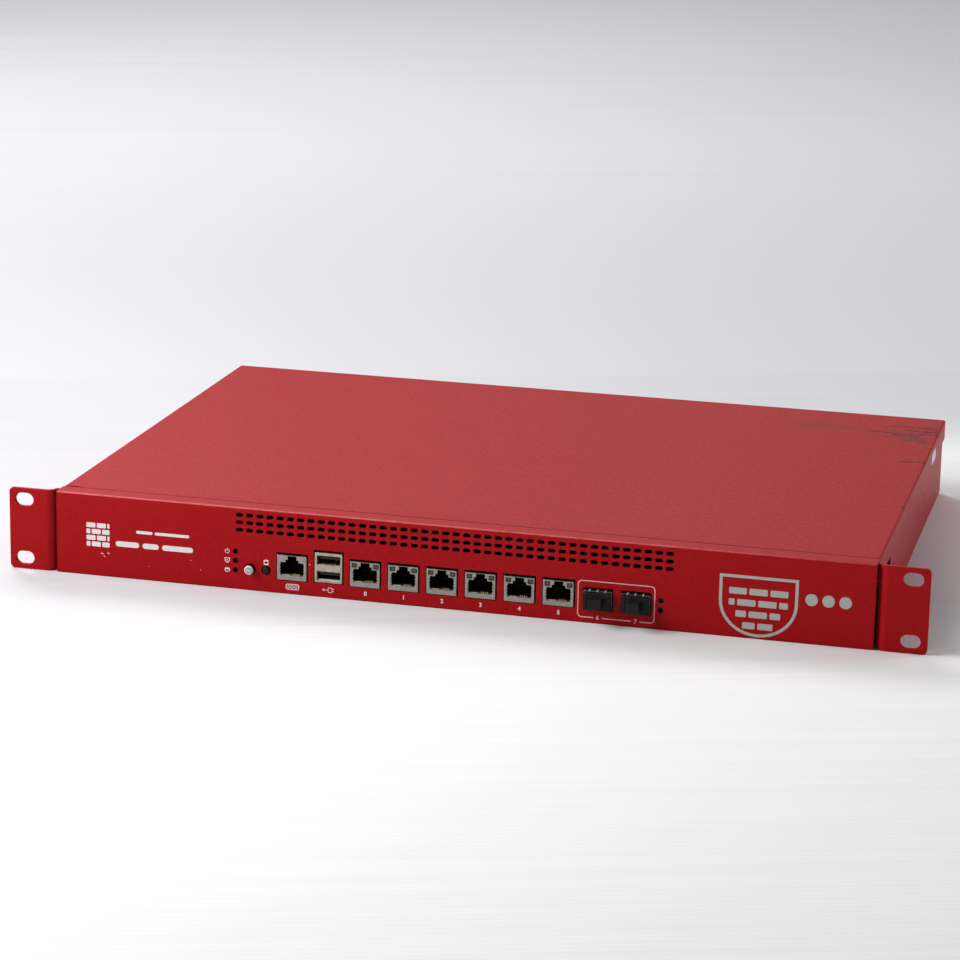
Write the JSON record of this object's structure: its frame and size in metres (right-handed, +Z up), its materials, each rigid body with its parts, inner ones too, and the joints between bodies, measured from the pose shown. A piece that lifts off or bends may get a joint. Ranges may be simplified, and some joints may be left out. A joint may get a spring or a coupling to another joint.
{
  "type": "firewall appliance",
  "caption": "Rack-mount network firewall appliance: a flat painted steel case with a vented, port-studded front panel, bolt-on rack ears, sliding top cover and rear cooling fans.",
  "frame": {"origin": "centre of the case's underside, on the surface it stands on", "axes": "+X to the right seen from the front, +Y towards the rear, +Z up"},
  "size_m": [0.482, 0.3167, 0.044],
  "materials": {
    "red_paint": "deep red powder coat, fine texture, satin",
    "bare_steel": "bare zinc-plated sheet, satin",
    "connector_shell": "nickel-plated stamped sheet, satin, slightly warm grey",
    "black_plastic": "moulded black plastic, fine matt texture",
    "white_plastic": "moulded white plastic, satin gloss",
    "circuit_board": "green solder mask over glass-fibre board",
    "bare_aluminium": "extruded, mill finish",
    "black_screw": "black oxide, satin",
    "smoked_lens": "smoked clear plastic light pipe",
    "cell_metal": "plated steel cell case",
    "cable_sleeve": "black braided sleeve over a wire bundle"
  },
  "bodies": {
    "case": {"chassis_tray": "red_paint", "front_panel": "red_paint", "rear_panel": "red_paint", "rack_ear_left": "red_paint", "rack_ear_right": "red_paint", "cover_ledge": "bare_steel", "psu_case": "bare_steel", "sfp_cage_6": "bare_steel", "sfp_cage_7": "bare_steel", "console_jack": "connector_shell", "usb_stack": "connector_shell", "port_jack_0": "connector_shell", "port_jack_1": "connector_shell", "port_jack_2": "connector_shell", "port_jack_3": "connector_shell", "port_jack_4": "connector_shell", "port_jack_5": "connector_shell", "fan_frame_1": "black_plastic", "fan_frame_2": "black_plastic", "fan_frame_3": "black_plastic", "psu_fan_frame": "black_plastic", "mains_inlet": "black_plastic", "switch_housing": "black_plastic", "memory_socket_1": "black_plastic", "memory_socket_2": "black_plastic", "power_switch": "black_plastic", "reset_switch": "black_plastic", "processor": "black_plastic", "board_power_connector": "white_plastic", "motherboard": "circuit_board", "memory_module_1": "circuit_board", "memory_module_2": "circuit_board", "storage_card": "circuit_board", "psu_board": "circuit_board", "processor_heatsink": "bare_aluminium", "chipset_heatsink": "bare_aluminium", "ear_screw_left_1": "black_screw", "ear_screw_left_2": "black_screw", "ear_screw_right_1": "black_screw", "ear_screw_right_2": "black_screw", "status_led_pipe": "smoked_lens", "sfp_led_pipe": "smoked_lens", "clock_battery": "cell_metal", "power_harness": "cable_sleeve"},
    "power_button": {"power_button": "white_plastic"},
    "reset_button": {"reset_button": "black_plastic"},
    "sfp_plug_6": {"sfp_plug_6": "black_plastic"},
    "sfp_plug_7": {"sfp_plug_7": "black_plastic"},
    "fan_rotor_1": {"fan_rotor_1": "black_plastic"},
    "fan_rotor_2": {"fan_rotor_2": "black_plastic"},
    "fan_rotor_3": {"fan_rotor_3": "black_plastic"},
    "psu_fan_rotor": {"psu_fan_rotor": "black_plastic"},
    "mains_rocker": {"mains_rocker": "black_plastic"},
    "top_cover": {"top_cover": "red_paint", "cover_screw_1": "black_screw", "cover_screw_2": "black_screw", "cover_screw_3": "black_screw"}
  },
  "joints": [
    {"name": "power_button_press", "type": "slide", "parent": "case", "child": "power_button", "axis": [0, 1, 0], "range_m": [0, 0.0012], "stiffness_N_per_m": 900},
    {"name": "reset_button_press", "type": "slide", "parent": "case", "child": "reset_button", "axis": [0, 1, 0], "range_m": [0, 0.0012], "stiffness_N_per_m": 900},
    {"name": "sfp_plug_6_pull", "type": "slide", "parent": "case", "child": "sfp_plug_6", "axis": [0, -1, 0], "range_m": [0, 0.013]},
    {"name": "sfp_plug_7_pull", "type": "slide", "parent": "case", "child": "sfp_plug_7", "axis": [0, -1, 0], "range_m": [0, 0.013]},
    {"name": "fan_1_spin", "type": "hinge", "parent": "case", "child": "fan_rotor_1", "pos_m": [-0.06, 0.1359, 0.0219], "axis": [0, 1, 0], "continuous": true},
    {"name": "fan_2_spin", "type": "hinge", "parent": "case", "child": "fan_rotor_2", "pos_m": [-0.01, 0.1359, 0.0219], "axis": [0, 1, 0], "continuous": true},
    {"name": "fan_3_spin", "type": "hinge", "parent": "case", "child": "fan_rotor_3", "pos_m": [0.04, 0.1359, 0.0219], "axis": [0, 1, 0], "continuous": true},
    {"name": "psu_fan_spin", "type": "hinge", "parent": "case", "child": "psu_fan_rotor", "pos_m": [0.148, 0.1394, 0.0219], "axis": [0, 1, 0], "continuous": true},
    {"name": "mains_rocker_tilt", "type": "hinge", "parent": "case", "child": "mains_rocker", "pos_m": [0.096, 0.1507, 0.021], "axis": [0, 0, 1], "range_deg": [0, 22]},
    {"name": "cover_slide", "type": "slide", "parent": "case", "child": "top_cover", "axis": [0, 1, 0], "range_m": [0, 0.3]}
  ]
}
